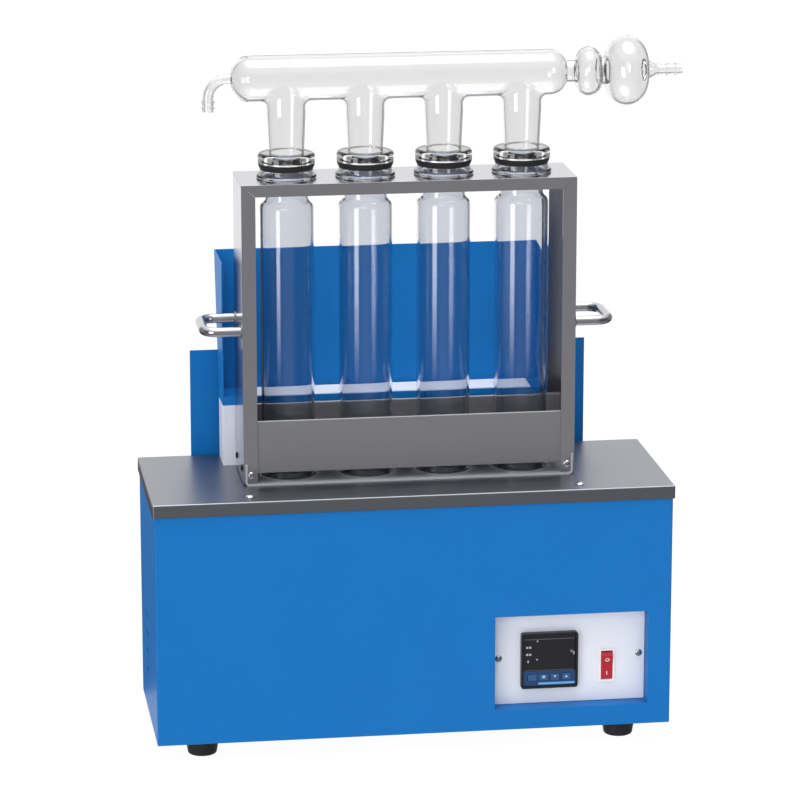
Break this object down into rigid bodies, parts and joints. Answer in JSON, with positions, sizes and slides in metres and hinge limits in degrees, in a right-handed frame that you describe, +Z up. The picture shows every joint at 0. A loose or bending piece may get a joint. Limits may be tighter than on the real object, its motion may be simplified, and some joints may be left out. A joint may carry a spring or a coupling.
{
  "type": "block digester",
  "caption": "Bench block digester: blue sheet housing with a controller, a lift-off steel rack of glass tubes, a glass fume manifold on top and a heat shield behind.",
  "frame": {"origin": "middle of the footprint of the whole object, at bench level under the feet", "axes": "+X to the right seen from the front, +Y to the rear, +Z up"},
  "size_m": [0.4498, 0.1774, 0.5844],
  "materials": {
    "powder_coat_blue": "semi-gloss",
    "powder_coat_white": "semi-gloss",
    "stainless_polished": "polished",
    "stainless_brushed": "brushed",
    "steel_screw": "plated",
    "steel_zinc": "plated",
    "borosilicate_glass": "clear",
    "rubber_black": "matte",
    "plastic_black": "fine texture",
    "window_smoked": "gloss",
    "keypad_blue": "satin",
    "key_grey": "satin",
    "rocker_red": "gloss",
    "switch_white": "satin",
    "cast_aluminium": "machined",
    "fibre_ceramic": "matte",
    "mica_plate": "matte",
    "terminal_ivory": "satin",
    "brass_plain": "machined",
    "lead_jacket": "satin"
  },
  "bodies": {
    "base": {"block_insulation": "fibre_ceramic", "block_tray": "steel_zinc", "body_shell": "powder_coat_blue", "bottom_plate": "steel_zinc", "control_leads": "lead_jacket", "control_panel": "powder_coat_white", "control_recess": "powder_coat_blue", "controller_bezel": "plastic_black", "controller_case": "plastic_black", "display_window": "window_smoked", "earth_stud": "brass_plain", "feet": "rubber_black", "foot_screws": "steel_screw", "fuse_holder": "plastic_black", "guard_screws": "steel_screw", "heat_shield": "powder_coat_blue", "heater_clamp": "steel_zinc", "heater_leads": "lead_jacket", "heater_plate": "mica_plate", "heater_screws": "steel_screw", "heating_block": "cast_aluminium", "inlet_screws": "steel_screw", "inlet_socket": "plastic_black", "key_band": "keypad_blue", "mains_leads": "lead_jacket", "panel_screws": "steel_screw", "rear_guard": "powder_coat_blue", "rear_panel": "powder_coat_blue", "rear_panel_screws": "steel_screw", "relay": "plastic_black", "relay_heat_sink": "cast_aluminium", "rocker_pin": "steel_zinc", "shield_strip": "stainless_polished", "shield_support": "stainless_brushed", "switch_housing": "switch_white", "temperature_probe": "steel_zinc", "terminal_block": "terminal_ivory", "top_plate": "stainless_polished", "tray_screws": "steel_screw", "well_collars": "steel_zinc"},
    "rack": {"rack_side_left": "stainless_polished", "rack_side_right": "stainless_polished", "rack_top": "stainless_polished", "rack_shelf": "stainless_brushed", "rack_base_tray": "stainless_brushed", "rack_screws": "steel_screw", "rack_handle_left": "stainless_polished", "rack_handle_right": "stainless_polished"},
    "manifold": {"fume_manifold": "borosilicate_glass", "seal_rings": "rubber_black"},
    "rocker": {"power_rocker": "rocker_red"},
    "tube_1": {"digestion_tube_1": "borosilicate_glass"},
    "key_1": {"controller_key_1": "key_grey"},
    "tube_2": {"digestion_tube_2": "borosilicate_glass"},
    "key_2": {"controller_key_2": "key_grey"},
    "tube_3": {"digestion_tube_3": "borosilicate_glass"},
    "key_3": {"controller_key_3": "key_grey"},
    "tube_4": {"digestion_tube_4": "borosilicate_glass"},
    "key_4": {"controller_key_4": "key_grey"}
  },
  "joints": [
    {"name": "rack_lift", "type": "slide", "parent": "base", "child": "rack", "axis": [0, 0, 1], "range_m": [0, 0.15]},
    {"name": "manifold_lift", "type": "slide", "parent": "rack", "child": "manifold", "axis": [0, 0, 1], "range_m": [0, 0.45]},
    {"name": "tube_1_lift", "type": "slide", "parent": "rack", "child": "tube_1", "axis": [0, 0, 1], "range_m": [0, 0.315]},
    {"name": "tube_2_lift", "type": "slide", "parent": "rack", "child": "tube_2", "axis": [0, 0, 1], "range_m": [0, 0.315]},
    {"name": "tube_3_lift", "type": "slide", "parent": "rack", "child": "tube_3", "axis": [0, 0, 1], "range_m": [0, 0.315]},
    {"name": "tube_4_lift", "type": "slide", "parent": "rack", "child": "tube_4", "axis": [0, 0, 1], "range_m": [0, 0.315]},
    {"name": "power_rocker_tilt", "type": "hinge", "parent": "base", "child": "rocker", "pos_m": [0.155, -0.0699, 0.0638], "axis": [1, 0, 0], "range_deg": [-18, 0]},
    {"name": "key_1_press", "type": "slide", "parent": "base", "child": "key_1", "axis": [0, 1, 0], "range_m": [0, 0.0006], "stiffness_N_per_m": 200},
    {"name": "key_2_press", "type": "slide", "parent": "base", "child": "key_2", "axis": [0, 1, 0], "range_m": [0, 0.0006], "stiffness_N_per_m": 200},
    {"name": "key_3_press", "type": "slide", "parent": "base", "child": "key_3", "axis": [0, 1, 0], "range_m": [0, 0.0006], "stiffness_N_per_m": 200},
    {"name": "key_4_press", "type": "slide", "parent": "base", "child": "key_4", "axis": [0, 1, 0], "range_m": [0, 0.0006], "stiffness_N_per_m": 200}
  ],
  "couplings": [
    {"joint": "tube_1_lift", "follows": "manifold_lift", "ratio": 0.7},
    {"joint": "tube_2_lift", "follows": "manifold_lift", "ratio": 0.7},
    {"joint": "tube_3_lift", "follows": "manifold_lift", "ratio": 0.7},
    {"joint": "tube_4_lift", "follows": "manifold_lift", "ratio": 0.7}
  ]
}
